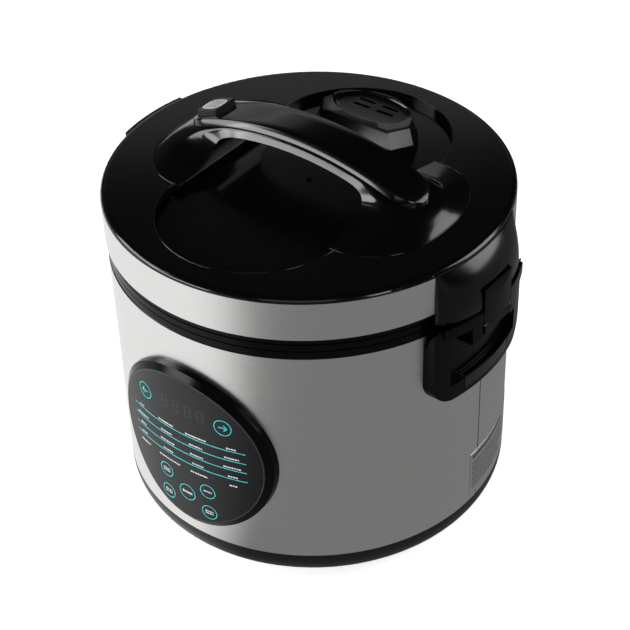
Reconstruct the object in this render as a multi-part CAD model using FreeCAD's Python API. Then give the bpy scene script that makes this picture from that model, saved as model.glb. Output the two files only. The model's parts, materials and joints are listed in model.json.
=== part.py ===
import FreeCAD, Part
import math
import os

os.makedirs("parts", exist_ok=True)
V = FreeCAD.Vector

# Driving dimensions in millimetres. +Z is up, the floor is z = 0, the front panel faces -Y,
# the lid hinge is on +X and the lid latch on -X.
pot_r = 111.0             # outside radius of the pot
wall_room = 18.0          # from the pot to the outside of the steel body
shell_t = 0.8             # steel sheet
foot_h = 4.0              # base underside above the floor
base_top = 25.0           # where the steel starts
body_top = 187.0          # where the steel ends
collar_h = 5.0            # black collar above the steel
parting = 0.8             # gap between collar and lid
lid_ring_h = 9.2          # black lower ring of the lid
band_h = 26.0             # steel band of the lid
lid_overhang = 1.0        # lid beyond the body, all round
lid_edge = 3.5            # rounding of the lid's top edge
skin = 2.5                # moulded plastic wall
gap = 0.4                 # clearance between pieces that only pass each other
move_gap = 0.6            # clearance between bodies that move
fit = 0.05                # radial clearance of a running fit
screw_r = 1.5

# Base and feet
base_taper = 13.0         # how far the underside draws in
base_floor_t = 3.0
lip_h = 8.0
lip_t = 2.4
foot_r = 9.0
foot_sink = 1.0
foot_inset = 18.0
vent_slot_l = 30.0
vent_slot_w = 3.0
vent_pitch = 7.0
vent_count = 7
base_step = 0.3           # pan set back from the steel
base_curve_in = 3.2       # point on the pan's rounded corner, from its side
base_curve_rise = 6.5
base_corner = 4.0
boss_r = 5.0
screw_well_r = 4.2
screw_well_d = 3.4
post_r = 3.0
post_x = 38.0             # posts of the power board
post_y = 52.0
post_dy = 24.0
post_h = 9.0
face_step = 0.5           # black rings set back from the steel
collar_lip = 7.0
ledge_t = 1.5
ledge_in = 3.5

# Cooking well
pot_wall = 2.0
pot_floor_z = 56.0
pot_corner = 12.0
flange_w = 8.0
flange_t = 2.0
shield_gap = 5.5
shield_floor_z = 34.0
shield_hole_r = 40.0
shield_flange = 7.0
plate_margin = 23.0
plate_t = 10.0
plate_leg_r = 5.0
plate_leg_inset = 18.0
boss_inset = 16.5
sensor_r = 15.0
sensor_stem_r = 6.0
sensor_travel = 2.0
sensor_cup_h = 9.0
bracket_disc_r = 46.0
bracket_disc_t = 2.0
sensor_tail = 8.0
fuse_hl = 9.0
fuse_w = 8.0
fuse_h = 3.2
fuse_inset = 4.0
inner_lid_inset = 4.0
inner_lid_t = 1.5
inner_lid_rise = 0.7      # above the lid's underside
grommet_hole_r = 5.0
grommet_head_r = 9.0
grommet_web_r = 11.7
grommet_cap_r = 16.0
grommet_cap_t = 2.0
grommet_head_t = 3.0
steam_hole_r = 5.0

# Control panel on the front
panel_z = 100.0
panel_a = 59.5            # half width, seen from the front
panel_b = 62.0            # half height
panel_proud = 6.6
panel_bevel_face = 2.6
panel_bevel_side = 4.2
panel_wall = 2.0
film_inset = 3.8          # bevelled rim round the film
film_t = 0.8
film_sink = 0.2
key_travel = 0.5
key_stem = 2.0
window_w = 36.0
window_h = 13.0
window_z = 132.0
board_t = 1.6
board_w = 68.0
board_hh = 84.0
board_clear = 4.5         # from the heat shield to the front of the board
panel_post_r = 3.0
panel_hole_margin = 11.0

# Keys: name, angle from the front in degrees, height, radius
keys = [
    ("key_left", -13.2, 131.0, 6.2),
    ("key_right", 13.2, 131.0, 6.2),
    ("key_timer", -7.2, 73.5, 5.8),
    ("key_delay", -7.2, 55.0, 5.8),
    ("key_menu", 0.0, 63.5, 6.6),
    ("key_start", 7.0, 72.0, 5.8),
    ("key_cancel", 7.0, 54.0, 5.8),
]

# Blank rating plate on the hinge side
rating_t = 0.25
rating_z0 = 29.0
rating_z1 = 65.0
rating_deg = 14.0         # middle, from the hinge towards the back
rating_half_deg = 16.0

# Hinge on +X
pivot_out = 7.5           # pin beyond the body
pivot_drop = 7.0          # pin below the top of the steel
pin_r = 2.0
barrel_r = 5.5
arm_hw = 14.7
arm_rise = 7.5            # top of the arm above the lid ring
arm_cover_t = 5.1         # arm beyond the pin
hinge_hw = 42.0
bracket_hw = 48.3
bracket_drop = 45.3       # bracket below the pin
bracket_proud = 7.3
bracket_corner = 16.0
bracket_back = 1.3
bracket_screw_in = 8.3
bracket_screw_drops = (24.0, 6.0)
parting_rise = 1.7        # foot of the hinge cover above the lid's underside
pocket_deg = 15.3
pocket_drop = 34.0
pocket_rise = 6.0         # top of the pocket above the pin
ear_drop = 6.5            # ears below the pin
cup_deg = 10.0
cup_wall = 1.2
cup_lift = 2.9
cover_bulge_r = 100.0     # plan radius of the hinge cover
cover_cheek = 11.8        # how far the cover stands out from the lid
cover_rim_out = 1.2       # cover beyond the lid at its rim
cover_depth = 30.0
cover_straight = 18.0     # top of its straight face above the pin
cover_mid_rise = 33.0
cover_mid_in = 2.2
shoulder_h = 7.0
shoulder_drop = 9.0
shoulder_share = 0.74
ear_hw = 24.0             # ears beside the arm
pin_hl = 22.0

# Handle and lid top
well_hw = 62.0
well_margin = 16.0
well_depth = 5.0
handle_r = 208.0          # arch radius of the handle's top
handle_h = 34.5           # top of the handle above the lid
cap_t = 4.2
bridge_t = 5.2
bridge_hw = 17.5
cap_hw = 15.6
cap_end_back = 16.0
leg_depth = 47.0
bridge_end_back = 24.0
foot_hw = 57.0
handle_neck_h = 17.5      # where the legs reach the arch, above the lid
foot_margin = 26.0
lug_out = 1.7
lug_deg = 12.0
button_back = 15.5
button_hl = 12.0
button_hw = 9.5
button_travel = 3.0
button_stem_r = 3.0
hook_travel = 1.5
hook_inset = 6.2
hook_t = 2.6
hook_nose = 1.0
catch_t = 1.0
catch_lip = 0.8
catch_h = 6.0
catch_clear = 0.2
hook_hw = 10.0
vent_inset = 44.0
vent_hw = 39.0
vent_corner = 9.0
vent_cap_x = -3.0         # the cap stands a little towards the latch
vent_front = 19.0
vent_back = 25.0
vent_h = 10.5
vent_dish_a = 29.0
vent_dish_b = 14.5
vent_dish_d = 1.0
vent_stem_r = 12.0
vent_stem_l = 12.0
vent_side = 14.0          # depth of the cap's slanted corners
vent_fillet = 3.0
vent_hole_x = 9.0
vent_hole_hl = 7.0
vent_hole_hw = 1.2
vent_hole_ys = (-1.0, 7.0)
vent_dish_y = 3.0
seat_wall = 4.0

# Sizes and heights that follow from the driving dimensions
body_r = pot_r + wall_room
lid_r = body_r + lid_overhang
base_bottom_r = body_r - base_taper
foot_ring_r = base_bottom_r - foot_inset
flange_r = pot_r + flange_w
shield_r = pot_r + shield_gap
plate_r = pot_r - plate_margin
plate_leg_ring = plate_r - plate_leg_inset
boss_ring_r = shield_r - boss_inset
inner_lid_r = pot_r - inner_lid_inset
collar_top = body_top + collar_h
ring_z = collar_top + parting
band_z = ring_z + lid_ring_h
rim_z = band_z + band_h
lid_top = rim_z + lid_edge
web_t = 3.0
web_z = band_z - web_t
well_floor = lid_top - well_depth
shell_in = body_r - shell_t
base_in = foot_h + base_floor_t
flange_z = body_top + 1.0
ledge_z = flange_z - 0.5
well_bore = flange_r + 0.8
ring_in = flange_r + 0.5
handle_top = lid_top + handle_h
arch_z = handle_top - handle_r
handle_neck_z = lid_top + handle_neck_h
tall = handle_top + 40.0
wide = body_r + 60.0
pivot_x = body_r + pivot_out
pivot_z = body_top - pivot_drop
arm_face_x = pivot_x + arm_cover_t
arm_top = band_z + arm_rise
bracket_bottom = pivot_z - bracket_drop
pocket_floor = pivot_z - pocket_drop
pocket_top = pivot_z + pocket_rise
ear_low = pivot_z - ear_drop
cup_floor_z = bracket_bottom + cup_lift
well_reach = lid_r - well_margin
foot_out_x = lid_r - foot_margin
leg_in_x = foot_out_x - leg_depth
cap_end_x = foot_out_x - cap_end_back
bridge_end_x = foot_out_x - bridge_end_back
lug_r = lid_r + lug_out
button_x = button_back - cap_end_x
hook_x = hook_inset - body_r
vent_y = well_reach - vent_inset
vent_front_y = vent_y - vent_front
vent_back_y = vent_y + vent_back
vent_top = lid_top + vent_h


def tube(r_out, r_in, z0, z1):
    outer = Part.makeCylinder(r_out, z1 - z0, V(0, 0, z0))
    return outer.cut(Part.makeCylinder(r_in, z1 - z0, V(0, 0, z0)))


def disc(r, z0, z1, x=0.0, y=0.0):
    return Part.makeCylinder(r, z1 - z0, V(x, y, z0))


def box(x0, x1, y0, y1, z0, z1):
    return Part.makeBox(x1 - x0, y1 - y0, z1 - z0, V(x0, y0, z0))


def revolve(points):
    # points are (r, z), and a third value makes an arc through that point to the next one
    edges = []
    n = len(points)
    i = 0
    while i < n:
        a = points[i]
        b = points[(i + 1) % n]
        pa = V(a[0], 0, a[1])
        if len(b) == 3:
            c = points[(i + 2) % n]
            edges.append(Part.Arc(pa, V(b[0], 0, b[1]), V(c[0], 0, c[1])).toShape())
            i += 2
        else:
            edges.append(Part.LineSegment(pa, V(b[0], 0, b[1])).toShape())
            i += 1
    face = Part.Face(Part.Wire(edges))
    return face.revolve(V(0, 0, 0), V(0, 0, 1), 360)


def ring_at(r, count, start=0.0):
    for i in range(count):
        a = math.radians(start + 360.0 * i / count)
        yield r * math.cos(a), r * math.sin(a)


def sector(r_out, r_in, z0, z1, mid_deg, half_deg):
    ring = Part.makeCylinder(r_out, z1 - z0, V(0, 0, z0), V(0, 0, 1), 2 * half_deg)
    ring = ring.cut(disc(r_in, z0, z1))
    ring.rotate(V(0, 0, 0), V(0, 0, 1), mid_deg - half_deg)
    return ring


def slab(points, axis, length):
    wire = Part.makePolygon([V(*p) for p in points] + [V(*points[0])])
    return Part.Face(wire).extrude(V(*axis) * length)


def stadium(half_w, reach, z0, z1):
    mid = reach - half_w
    shape = box(-half_w, half_w, -mid, mid, z0, z1)
    for y in (-mid, mid):
        shape = shape.fuse(disc(half_w, z0, z1, 0, y))
    return shape.removeSplitter()


def save(name, shape):
    shape.exportStep("parts/%s.step" % name)


def group(shapes):
    return Part.makeCompound(list(shapes))


def screw_group(places, head_r, head_z, head_h, tip_z):
    made = []
    for x, y in places:
        head = disc(head_r, head_z, head_z + head_h, x, y)
        made.append(head.fuse(disc(screw_r, head_z + head_h, tip_z, x, y)))
    return group(made)


# Base: dished pan with a locating lip, bosses, air slots and four feet
foot_places = list(ring_at(foot_ring_r, 4, 45.0))
boss_places = list(ring_at(boss_ring_r, 4, 0.0))
board_posts = [(sx * post_x, post_y + sy * post_dy) for sx in (-1, 1) for sy in (-1, 1)]
power_board_z = base_in + post_h


def make_base():
    pan_r = body_r - base_step
    wall_in = pan_r - skin
    lip_r = shell_in - gap
    pan = revolve([
        (0, foot_h), (base_bottom_r, foot_h),
        (pan_r - base_curve_in, foot_h + base_curve_rise, "arc"), (pan_r, base_top),
        (lip_r, base_top), (lip_r, base_top + lip_h), (lip_r - lip_t, base_top + lip_h),
        (lip_r - lip_t, base_top - 2.0), (wall_in - base_corner, base_in + base_corner),
        (base_bottom_r - base_corner, base_in), (0, base_in)])
    for x, y in boss_places:
        pan = pan.fuse(disc(boss_r, base_in, shield_floor_z, x, y))
    for x, y in board_posts:
        pan = pan.fuse(disc(post_r, base_in, power_board_z, x, y))
    for x, y in foot_places:
        pan = pan.cut(disc(foot_r + 0.1, foot_h, foot_h + foot_sink, x, y))
    for x, y in boss_places:
        pan = pan.cut(disc(screw_well_r, foot_h, foot_h + screw_well_d, x, y))
        pan = pan.cut(disc(screw_r + fit, foot_h, shield_floor_z, x, y))
    for i in range(vent_count):
        y = (i - (vent_count - 1) / 2.0) * vent_pitch
        pan = pan.cut(box(-vent_slot_l / 2, vent_slot_l / 2, y - vent_slot_w / 2, y + vent_slot_w / 2,
                          foot_h, base_in))
    return pan


def make_shell():
    shell = tube(body_r, shell_in, base_top, body_top)
    hole = panel_cut(panel_hole_margin).common(disc(body_r + 1, panel_z - panel_b, panel_z + panel_b))
    shell = shell.cut(hole)
    shell = shell.cut(box(-inlet_hw, inlet_hw, 0, body_r + 1, inlet_z0, inlet_z1))
    for y, z in bracket_screw_places:
        shell = shell.cut(Part.makeCylinder(screw_r + fit, 40, V(body_r - 20, y, z), V(1, 0, 0)))
    return shell


def make_collar():
    lip_r = shell_in - gap
    face_r = body_r - face_step
    return revolve([
        (well_bore, collar_top), (face_r, collar_top), (face_r, body_top), (lip_r, body_top),
        (lip_r, body_top - collar_lip), (lip_r - lip_t, body_top - collar_lip),
        (lip_r - lip_t, ledge_z - ledge_t),
        (pot_r + ledge_in, ledge_z - ledge_t), (pot_r + ledge_in, ledge_z), (well_bore, ledge_z)])


# Heat: shield can, cast plate, pot and the sprung sensor under the pot
def make_shield():
    t = shell_t
    top = ledge_z - ledge_t
    shield = revolve([
        (shield_hole_r, shield_floor_z), (shield_r, shield_floor_z), (shield_r, top - t),
        (shield_r + shield_flange, top - t), (shield_r + shield_flange, top), (shield_r - t, top),
        (shield_r - t, shield_floor_z + t), (shield_hole_r, shield_floor_z + t)])
    for x, y in boss_places:
        shield = shield.cut(disc(screw_r + fit, shield_floor_z, shield_floor_z + t, x, y))
    return shield


def make_plate():
    z0 = pot_floor_z - plate_t
    plate = disc(plate_r, z0, pot_floor_z).cut(disc(sensor_r + move_gap, z0, pot_floor_z))
    for x, y in ring_at(plate_leg_ring, 3, 30.0):
        plate = plate.fuse(disc(plate_leg_r, shield_floor_z + shell_t, z0, x, y))
    return plate


def make_pot():
    c = pot_corner
    d = c * (1 - math.sqrt(0.5))
    w = pot_wall
    top = flange_z + flange_t
    e = c - w
    f = e * (1 - math.sqrt(0.5))
    inner = pot_r - w
    floor = pot_floor_z + w
    return revolve([
        (0, pot_floor_z), (pot_r - c, pot_floor_z), (pot_r - d, pot_floor_z + d, "arc"),
        (pot_r, pot_floor_z + c), (pot_r, flange_z), (flange_r, flange_z), (flange_r, top), (inner, top),
        (inner, floor + e), (inner - f, floor + f, "arc"), (inner - e, floor), (0, floor)])


sensor_top = pot_floor_z - 0.3
cup_z = sensor_top - sensor_cup_h


def make_sensor():
    stem = disc(sensor_stem_r, shield_floor_z - bracket_disc_t - sensor_tail, cup_z)
    return disc(sensor_r, cup_z, sensor_top).fuse(stem)


def make_sensor_bracket():
    z0 = shield_floor_z - bracket_disc_t
    return disc(bracket_disc_r, z0, shield_floor_z).cut(disc(sensor_stem_r + fit, z0, shield_floor_z))


def make_sensor_spring():
    return tube(sensor_stem_r + 4.0, sensor_stem_r + 2.0, shield_floor_z, cup_z - sensor_travel - 1.0)


# Electrics
def make_power_board():
    top = power_board_z + board_t
    board = box(-44.0, 44.0, 22.0, 82.0, power_board_z, top)
    blocks = [(-34, -14, 30, 46, 11), (-6, 18, 28, 50, 12), (24, 38, 30, 60, 8), (-34, -20, 56, 74, 9)]
    for x0, x1, y0, y1, h in blocks:
        board = board.fuse(box(x0, x1, y0, y1, top, top + h))
    return board


def make_thermal_fuse():
    y0 = fuse_inset - plate_leg_ring
    return box(-fuse_hl, fuse_hl, y0, y0 + fuse_w, shield_floor_z - fuse_h, shield_floor_z)


inlet_hw = 14.0
inlet_z0 = base_top + lip_h + 4.0
inlet_z1 = inlet_z0 + 22.0
inlet_depth = 12.5
inlet_proud = 2.5
inlet_flange = 4.0
inlet_wall = 3.0
socket_hh = 7.5
pin_x = 6.0


def make_inlet():
    m = gap
    y1 = body_r + inlet_proud
    body = box(-inlet_hw + m, inlet_hw - m, y1 - inlet_depth, y1, inlet_z0 + m, inlet_z1 - m)
    half = inlet_hw + inlet_flange
    flange = box(-half, half, body_r + 0.1, y1, inlet_z0 - inlet_flange, inlet_z1 + inlet_flange)
    body = body.fuse(flange)
    zc = (inlet_z0 + inlet_z1) / 2
    half = inlet_hw - inlet_wall
    socket = box(-half, half, y1 - inlet_depth + 2, y1, zc - socket_hh, zc + socket_hh)
    body = body.cut(socket)
    for x in (-pin_x, pin_x):
        body = body.fuse(box(x - 1, x + 1, y1 - inlet_depth, y1 - 3, zc - 2.5, zc + 2.5))
    return body


def make_rating_plate():
    return sector(body_r + rating_t, body_r, rating_z0, rating_z1, rating_deg, rating_half_deg)


# Control panel: everything is cut from rings that follow the body's cylinder
panel_out = body_r + panel_proud
film_out = panel_out - film_sink
film_in = film_out - film_t


def panel_cut(inset):
    # straight elliptic prism along Y, as seen from the front
    ellipse = Part.Ellipse(V(0, 0, 0), panel_b - inset, panel_a - inset)
    face = Part.Face(Part.Wire(ellipse.toShape()))
    prism = face.extrude(V(0, 0, body_r + 20.0))
    prism.rotate(V(0, 0, 0), V(0, 0, 1), 90)
    prism.rotate(V(0, 0, 0), V(1, 0, 0), 90)
    prism.translate(V(0, 0, panel_z))
    return prism


def panel_part(inset, r_in, r_out):
    z0 = panel_z - panel_b
    z1 = panel_z + panel_b
    return tube(r_out, r_in, z0, z1).common(panel_cut(inset))


def key_prism(deg, z, r, r0, r1):
    # round prism standing square on the body at the key's place
    a = math.radians(deg)
    out = V(math.sin(a), -math.cos(a), 0)
    return Part.makeCylinder(r, r1 - r0, out * r0 + V(0, 0, z), out)


def make_bezel():
    base_r = body_r + 0.1
    blank = panel_part(0.0, base_r, panel_out)
    rim = [e for e in blank.Edges
           if all(abs(math.hypot(v.X, v.Y) - panel_out) < 0.01 for v in e.Vertexes)
           and e.Length > panel_a]
    blank = blank.makeChamfer(panel_bevel_side, panel_bevel_face, rim)
    back = panel_part(film_inset + 2.0, base_r, film_in - panel_wall)
    bezel = blank.cut(panel_part(film_inset, film_in, panel_out + 1.0)).cut(back)
    for name, deg, z, r in keys:
        bezel = bezel.cut(key_prism(deg, z, r + gap, base_r, panel_out + 1))
    bezel = bezel.cut(box(-window_w / 2, window_w / 2, -panel_out, 0,
                          window_z - window_h / 2, window_z + window_h / 2))
    for x, z in panel_posts:
        post = Part.makeCylinder(panel_post_r, panel_out, V(x, 0, z), V(0, -1, 0))
        post = post.common(disc(film_in - panel_wall + 0.2, z - 20, z + 20))
        post = post.cut(box(-panel_a, panel_a, -board_y, 0, 0, tall))
        bezel = bezel.fuse(post)
        bezel = bezel.cut(Part.makeCylinder(screw_r + fit, 6.0, V(x, -board_y, z), V(0, -1, 0)))
    return bezel


board_y = shield_r + board_clear
panel_posts = [(sx * 27.0, panel_z + dz) for sx in (-1, 1) for dz in (-26.0, 16.0)]


def make_film():
    film = panel_part(film_inset + 0.1, film_in, film_out)
    for name, deg, z, r in keys:
        film = film.cut(key_prism(deg, z, r + gap, body_r - 5, panel_out + 5))
    return film


def make_key(deg, z, r):
    top = key_prism(deg, z, r, body_r - 5, panel_out + 5)
    return top.common(tube(film_out, film_in - key_stem, z - 20, z + 20))


def make_membrane():
    r1 = film_in - key_stem - key_travel - 0.3
    sheet = panel_part(film_inset + 3.0, r1 - 0.6, r1)
    sheet = sheet.cut(box(-window_w / 2 - 1, window_w / 2 + 1, -panel_out, 0,
                          window_z - window_h / 2 - 1, window_z + window_h / 2 + 1))
    for x, z in panel_posts:
        sheet = sheet.cut(Part.makeCylinder(panel_post_r + gap, panel_out, V(x, 0, z), V(0, -1, 0)))
    return sheet


def make_control_board():
    board = box(-board_w / 2, board_w / 2, -board_y, -board_y + board_t,
                panel_z - board_hh / 2, panel_z + board_hh / 2)
    for x, z in panel_posts:
        board = board.cut(Part.makeCylinder(screw_r + fit, 10, V(x, -board_y + 5, z), V(0, -1, 0)))
    return board


def make_board_screws():
    made = []
    for x, z in panel_posts:
        y = -board_y + board_t
        head = Part.makeCylinder(2.6, 1.6, V(x, y + 1.6, z), V(0, -1, 0))
        made.append(head.fuse(Part.makeCylinder(screw_r, 6.0, V(x, y, z), V(0, -1, 0))))
    return group(made)


def make_display():
    m = 0.6
    return box(-window_w / 2 + m, window_w / 2 - m, -film_in + 3.5, -board_y,
               window_z - window_h / 2 + m, window_z + window_h / 2 - m)


# Hinge: bracket on the body, pin, and the lid's arm between the ears
bracket_in = body_r + 0.1
bracket_out = body_r + bracket_proud
ear_r = ring_z + parting_rise - pivot_z - move_gap
bracket_screw_y = bracket_hw - bracket_screw_in
bracket_screw_places = [(side * bracket_screw_y, pivot_z - drop)
                        for side in (-1, 1) for drop in bracket_screw_drops]


def rod_y(r, half, x, z):
    return Part.makeCylinder(r, 2 * half, V(x, -half, z), V(0, 1, 0))


def make_bracket():
    top = pivot_z + ear_r
    c = bracket_corner
    z0 = bracket_bottom
    w = bracket_hw
    s = c * (1 - math.sqrt(0.5))
    edges = [
        Part.LineSegment(V(0, -w, top), V(0, -w, z0 + c)).toShape(),
        Part.Arc(V(0, -w, z0 + c), V(0, -w + s, z0 + s), V(0, -w + c, z0)).toShape(),
        Part.LineSegment(V(0, -w + c, z0), V(0, w - c, z0)).toShape(),
        Part.Arc(V(0, w - c, z0), V(0, w - s, z0 + s), V(0, w, z0 + c)).toShape(),
        Part.LineSegment(V(0, w, z0 + c), V(0, w, top)).toShape(),
        Part.LineSegment(V(0, w, top), V(0, -w, top)).toShape(),
    ]
    prism = Part.Face(Part.Wire(edges)).extrude(V(body_r + 40, 0, 0))
    plate = tube(bracket_out, bracket_in, z0, top).common(prism)
    # the top follows the sweep of the lid round the pivot
    reach = rod_y(ear_r, w + 5, pivot_x, pivot_z)
    low = box(0, body_r + 40, -w - 5, w + 5, 0, pivot_z)
    knuckle = box(bracket_in - 3, arm_face_x, -hinge_hw, hinge_hw, pocket_top, top)
    ears = box(bracket_in - 3, arm_face_x, -ear_hw, ear_hw, ear_low, top)
    knuckle = knuckle.cut(disc(bracket_in, 0, tall))
    ears = ears.cut(disc(bracket_in, 0, tall))
    plan = disc(cover_bulge_r, 0, tall, arm_face_x - cover_bulge_r, 0)
    bracket = plate.fuse(knuckle.common(plan)).common(reach.fuse(low))
    ears = ears.common(plan).common(reach.fuse(low))
    back = bracket_in + bracket_back
    pocket = sector(bracket_out + 12, back, pocket_floor, pocket_top, 0.0, pocket_deg)
    tray = sector(bracket_out + 12, back, cup_floor_z, pocket_floor + 1, 0.0, cup_deg + 0.3)
    slot = box(0, body_r + 40, -arm_hw - move_gap, arm_hw + move_gap, ear_low - 1, top + 1)
    slot = slot.cut(disc(back, 0, tall))
    bracket = bracket.cut(pocket).cut(tray).fuse(ears).cut(slot)
    bracket = bracket.cut(rod_y(pin_r + fit, pin_hl + gap, pivot_x, pivot_z))
    for y, z in bracket_screw_places:
        bracket = bracket.cut(Part.makeCylinder(screw_r + fit, 8, V(body_r - 8, y, z), V(1, 0, 0)))
    return bracket.removeSplitter()


def make_bracket_screws():
    made = []
    for y, z in bracket_screw_places:
        x = math.sqrt(shell_in ** 2 - (abs(y) + 3.0) ** 2) - 0.1
        head = Part.makeCylinder(2.8, 2.0, V(x - 2.0, y, z), V(1, 0, 0))
        made.append(head.fuse(Part.makeCylinder(screw_r, 6.0, V(x, y, z), V(1, 0, 0))))
    return group(made)


def make_pin():
    return rod_y(pin_r, pin_hl, pivot_x, pivot_z)


def make_cup():
    r0 = bracket_in + bracket_back + gap
    r1 = bracket_out
    z0 = cup_floor_z + 0.3
    z1 = pocket_floor
    body = sector(r1, r0, z0, z1, 0.0, cup_deg)
    hollow = sector(r1 - cup_wall, r0 + cup_wall, z0 + cup_wall, z1, 0.0, cup_deg - 0.6)
    return body.cut(hollow)


def make_arm():
    x0 = pivot_x - barrel_r
    plate = box(x0, arm_face_x, -arm_hw, arm_hw, pivot_z, arm_top)
    plan = disc(cover_bulge_r, 0, tall, arm_face_x - cover_bulge_r, 0)
    plate = plate.common(plan)
    plate = plate.fuse(rod_y(barrel_r, arm_hw, pivot_x, pivot_z))
    plate = plate.common(cover_profile(arm_hw, pivot_z - barrel_r))
    foot = box(ring_in - 7.0, x0 + 1, -arm_hw, arm_hw, band_z, arm_top)
    arm = plate.fuse(foot)
    return arm.cut(rod_y(pin_r + fit, arm_hw, pivot_x, pivot_z)).removeSplitter()


def cover_profile(half, z0):
    # side view of the hinge cover: it swells from the lid's rim down to the parting line
    x_top = lid_r + cover_rim_out
    x_back = lid_r - cover_depth
    pts = [V(x_back, -half, z0), V(arm_face_x, -half, z0), V(arm_face_x, -half, pivot_z + cover_straight)]
    mid = V(arm_face_x - cover_mid_in, -half, pivot_z + cover_mid_rise)
    end = V(x_top, -half, rim_z)
    edges = [Part.LineSegment(pts[0], pts[1]).toShape(), Part.LineSegment(pts[1], pts[2]).toShape(),
             Part.Arc(pts[2], mid, end).toShape(),
             Part.LineSegment(end, V(x_back, -half, rim_z)).toShape(),
             Part.LineSegment(V(x_back, -half, rim_z), pts[0]).toShape()]
    return Part.Face(Part.Wire(edges)).extrude(V(0, 2 * half, 0))


def make_hinge_cover():
    z0 = ring_z + parting_rise
    cover = cover_profile(hinge_hw, z0)
    cover = cover.common(disc(cover_bulge_r, 0, tall, arm_face_x - cover_bulge_r, 0))
    # its top also runs down from the rim all along the lid's edge
    cheek = lid_r + cover_cheek
    mid_r = lid_r + shoulder_share * cover_cheek
    shoulder = revolve([(0, z0), (cheek, z0), (cheek, z0 + shoulder_h), (mid_r, rim_z - shoulder_drop, "arc"),
                        (lid_r + cover_rim_out / 2, rim_z), (0, rim_z)])
    cover = cover.common(shoulder).cut(disc(lid_r + 0.1, 0, tall))
    m = arm_hw + move_gap
    return cover.cut(box(0, wide, -m, m, 0, arm_top + 1.2))


# Lid: frame with its web, steel band, top cover with the long well, handle
lid_screw_places = list(ring_at(ring_in + 3.3, 4, 45.0))


def make_lid_frame():
    face_r = body_r - face_step
    groove_z = ring_z + 4.2
    groove_d = 0.7
    frame = revolve([
        (12.0, web_z), (ring_in, web_z), (ring_in, ring_z), (face_r, ring_z), (face_r, groove_z),
        (face_r - groove_d, groove_z), (face_r - groove_d, groove_z + 1.0), (face_r, groove_z + 1.0),
        (face_r, band_z), (12.0, band_z)])
    for x, y in lid_screw_places:
        frame = frame.cut(disc(3.3, ring_z, ring_z + 3.4, x, y))
        frame = frame.cut(disc(screw_r + fit, ring_z, band_z, x, y))
    frame = frame.cut(disc(vent_stem_r - 4.0, web_z, band_z, 0, vent_y))
    slot = box(catch_x - catch_t - 0.3, hook_x + hook_t / 2 + hook_travel + move_gap,
               -hook_hw - move_gap, hook_hw + move_gap, ring_z - 1, band_z + 1)
    return frame.cut(slot)


def make_band():
    band = tube(lid_r, lid_r - shell_t, band_z, rim_z)
    m = arm_hw + gap
    return band.cut(box(0, wide, -m, m, band_z, arm_top + gap))


def make_cover():
    r = lid_r
    e = lid_edge
    k = e * (1 - math.sqrt(0.5))
    inner = r - shell_t - 0.2
    cover = revolve([
        (0, lid_top - skin), (inner - skin, lid_top - skin), (inner - skin, band_z), (inner, band_z),
        (inner, rim_z), (r, rim_z), (r - k, lid_top - k, "arc"), (r - e, lid_top), (0, lid_top)])
    cover = cover.fuse(stadium(well_hw + skin, well_reach + skin, well_floor - skin, lid_top))
    lug = sector(lug_r, r + 0.1, rim_z - 6.0, rim_z, 180.0, lug_deg)
    lug = lug.fuse(sector(lug_r, r - 3.0, rim_z, rim_z + 2.2, 180.0, lug_deg))
    cover = cover.fuse(lug).cut(stadium(well_hw, well_reach, well_floor, lid_top))
    m = arm_hw + gap
    cover = cover.cut(box(lid_r - cover_depth, wide, -m, m, band_z, arm_top + gap))
    for x, y in lid_screw_places:
        cover = cover.fuse(disc(3.2, band_z, lid_top - skin, x, y))
        cover = cover.cut(disc(screw_r + fit, band_z, band_z + 12.0, x, y))
    cover = cover.cut(disc(vent_stem_r + move_gap, well_floor - skin, lid_top, 0, vent_y))
    cover = cover.cut(disc(button_stem_r + move_gap, lid_top - skin, lid_top, button_x, 0))
    return cover.cut(disc(3.0, well_floor - 1.5, well_floor, 0, 0))


def make_lid_screws():
    return screw_group(lid_screw_places, 3.0, ring_z + 0.4, 3.0, band_z + 11.0)


def make_inner_lid():
    z = ring_z + inner_lid_rise
    edge = inner_lid_r - inner_lid_t
    floor = z + inner_lid_t
    lid = revolve([(grommet_hole_r, z), (inner_lid_r, z), (inner_lid_r, web_z), (edge, web_z),
                   (edge, floor), (grommet_hole_r, floor)])
    return lid.cut(disc(steam_hole_r, z, floor, 0, vent_y))


def make_gasket():
    z = flange_z + flange_t + 0.3
    r0 = inner_lid_r + 0.2
    r1 = pot_r + 1.0
    return revolve([(r0, ring_z + inner_lid_rise), (pot_r + 3.0, z), (flange_r - 1.4, z),
                    (flange_r - 0.8, z + 1.2), (r1, ring_z + 2.2), (r1, web_z), (r0, web_z)])


def make_grommet():
    z = ring_z + inner_lid_rise
    low = z - grommet_head_t
    top = band_z + grommet_cap_t
    neck = grommet_hole_r - 0.1
    head = grommet_head_r
    floor = z + inner_lid_t
    return revolve([(0, low), (head, low), (head, z), (neck, z), (neck, floor), (head, floor), (head, web_z),
                    (grommet_web_r, web_z), (grommet_web_r, band_z), (grommet_cap_r, band_z),
                    (grommet_cap_r, top), (0, top)])


def make_steam_seat():
    seat = tube(vent_stem_r + seat_wall, vent_stem_r + move_gap, band_z, well_floor - skin)
    return seat.translated(V(0, vent_y, 0))


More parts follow.
